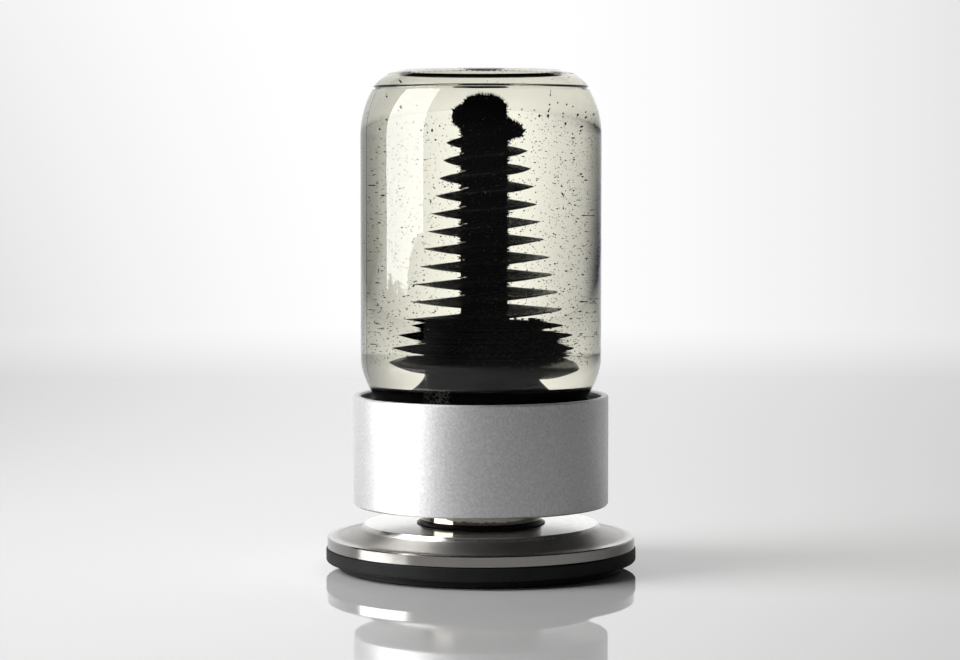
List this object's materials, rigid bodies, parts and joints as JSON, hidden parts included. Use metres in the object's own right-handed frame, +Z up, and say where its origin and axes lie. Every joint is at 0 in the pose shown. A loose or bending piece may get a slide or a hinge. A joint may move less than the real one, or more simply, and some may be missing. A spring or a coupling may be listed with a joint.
{
  "type": "magnetic desk sculpture",
  "caption": "Sealed jar of clear liquid with a screw-shaped ferrofluid tower, upside down in a magnetic aluminium housing that spins on a round steel foot.",
  "frame": {"origin": "centre of the foot's underside, on the turning axis", "axes": "+Z up along the turning axis; +X and +Y lie in the table's plane"},
  "size_m": [0.0966, 0.0966, 0.155],
  "materials": {
    "foot_rubber": "moulded black rubber, fine matt grain",
    "turned_steel": "turned and polished stainless steel, fine circular tool marks",
    "bearing_steel": "ground bearing steel",
    "ball_steel": "polished bearing balls",
    "cage_polymer": "moulded nylon crown cage",
    "fastener_steel": "machined fastener steel",
    "spacer_brass": "turned brass",
    "black_polymer": "black moulded polymer",
    "nickel_plate": "bright nickel plating over a sintered magnet",
    "satin_aluminium": "bead-blasted, clear-anodised aluminium",
    "black_foam": "closed-cell black foam",
    "lid_enamel": "black enamelled tinplate",
    "gasket_compound": "flowed-in sealing compound",
    "jar_glass": "clear flint jar glass",
    "core_steel": "plain machined mild steel",
    "seal_rubber": "nitrile seal",
    "ferrofluid": "wet black ferrofluid",
    "clear_liquid": "clear, faintly straw-coloured carrier liquid with fine black specks"
  },
  "bodies": {
    "foot": {"foot_pad": "foot_rubber", "foot_plate": "turned_steel", "bearing_outer_ring": "bearing_steel", "bearing_shields": "bearing_steel"},
    "ball_cage": {"bearing_cage": "cage_polymer", "bearing_balls": "ball_steel"},
    "turntable": {"bearing_inner_ring": "bearing_steel", "spindle": "fastener_steel", "hub_spacer": "spacer_brass", "dust_ring": "black_polymer", "ring_magnet": "nickel_plate", "housing": "satin_aluminium", "lock_washer": "fastener_steel", "spindle_nut": "fastener_steel", "jar_cushion": "black_foam", "centring_ring": "black_foam", "jar_lid": "lid_enamel", "lid_gasket": "gasket_compound", "glass_jar": "jar_glass", "core_fixing_screw": "fastener_steel", "screw_washer": "fastener_steel", "core_seal": "seal_rubber", "core_post": "core_steel", "core_disc": "core_steel", "core_screw": "core_steel", "ferrofluid_coat": "ferrofluid", "ferrofluid_pool": "ferrofluid", "suspension_liquid": "clear_liquid"}
  },
  "joints": [
    {"name": "turntable_spin", "type": "hinge", "parent": "foot", "child": "turntable", "pos_m": [0, 0, 0.01095], "axis": [0, 0, 1], "continuous": true},
    {"name": "cage_spin", "type": "hinge", "parent": "foot", "child": "ball_cage", "pos_m": [0, 0, 0.01095], "axis": [0, 0, 1], "continuous": true}
  ],
  "couplings": [
    {"joint": "cage_spin", "follows": "turntable_spin", "ratio": 0.3677}
  ]
}
